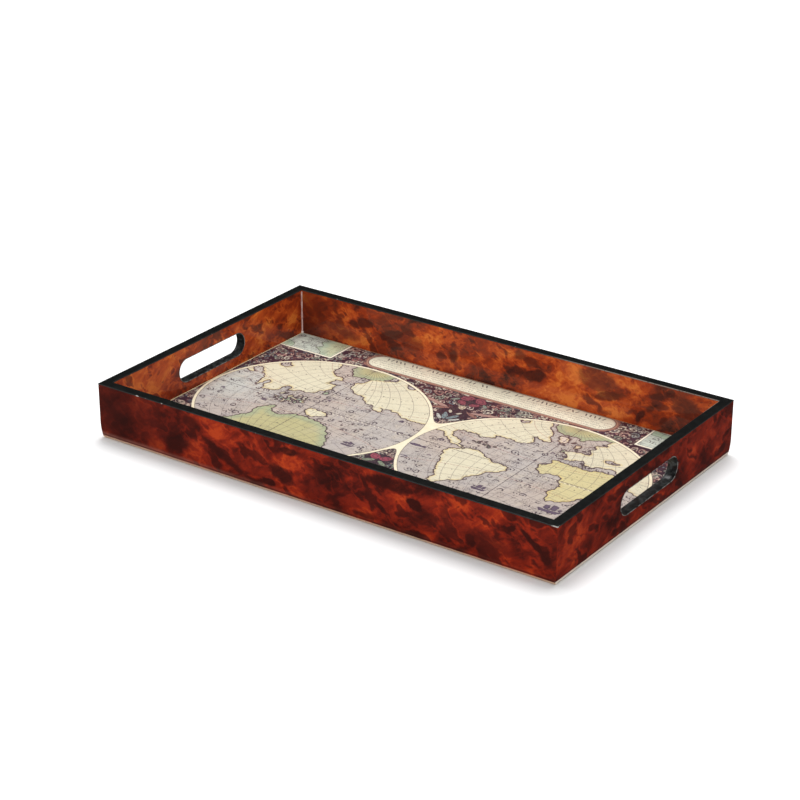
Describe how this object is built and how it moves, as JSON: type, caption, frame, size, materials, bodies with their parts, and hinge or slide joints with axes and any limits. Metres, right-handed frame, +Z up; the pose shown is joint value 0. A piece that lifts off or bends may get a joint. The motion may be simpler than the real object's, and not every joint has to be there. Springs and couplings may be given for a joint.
{
  "type": "serving tray",
  "caption": "Shallow rectangular serving tray with mitred veneered walls, a black rim, a hand slot in each end wall and a printed double-hemisphere map on its floor.",
  "frame": {"origin": "centre of the footprint, on the surface that the tray stands on", "axes": "+X along the long side towards the right end wall, +Y from the front wall to the back wall, +Z up"},
  "size_m": [0.48, 0.295, 0.053],
  "materials": {
    "burl_outer": "dark red-brown burl veneer under glossy clear lacquer",
    "burl_inner": "amber-red burl veneer under glossy clear lacquer",
    "black_lacquer": "satin black lacquer",
    "fibreboard": "plain medium-density fibreboard",
    "printed_map": "printed paper under satin clear lacquer",
    "felt": "dense dark felt",
    "bead_lacquer": "pooled glossy lacquer",
    "nail_steel": "bright drawn wire"
  },
  "bodies": {
    "root": {"front_wall_core": "fibreboard", "right_wall_core": "fibreboard", "back_wall_core": "fibreboard", "left_wall_core": "fibreboard", "front_outer_veneer": "burl_outer", "right_outer_veneer": "burl_outer", "back_outer_veneer": "burl_outer", "left_outer_veneer": "burl_outer", "front_inner_veneer": "burl_inner", "right_inner_veneer": "burl_inner", "back_inner_veneer": "burl_inner", "left_inner_veneer": "burl_inner", "front_rim_band": "black_lacquer", "right_rim_band": "black_lacquer", "back_rim_band": "black_lacquer", "left_rim_band": "black_lacquer", "right_slot_lining": "black_lacquer", "left_slot_lining": "black_lacquer", "base_panel": "fibreboard", "map_print": "printed_map", "felt_backing": "felt", "corner_beads": "bead_lacquer", "corner_brads": "nail_steel", "base_pins": "nail_steel"}
  },
  "joints": []
}
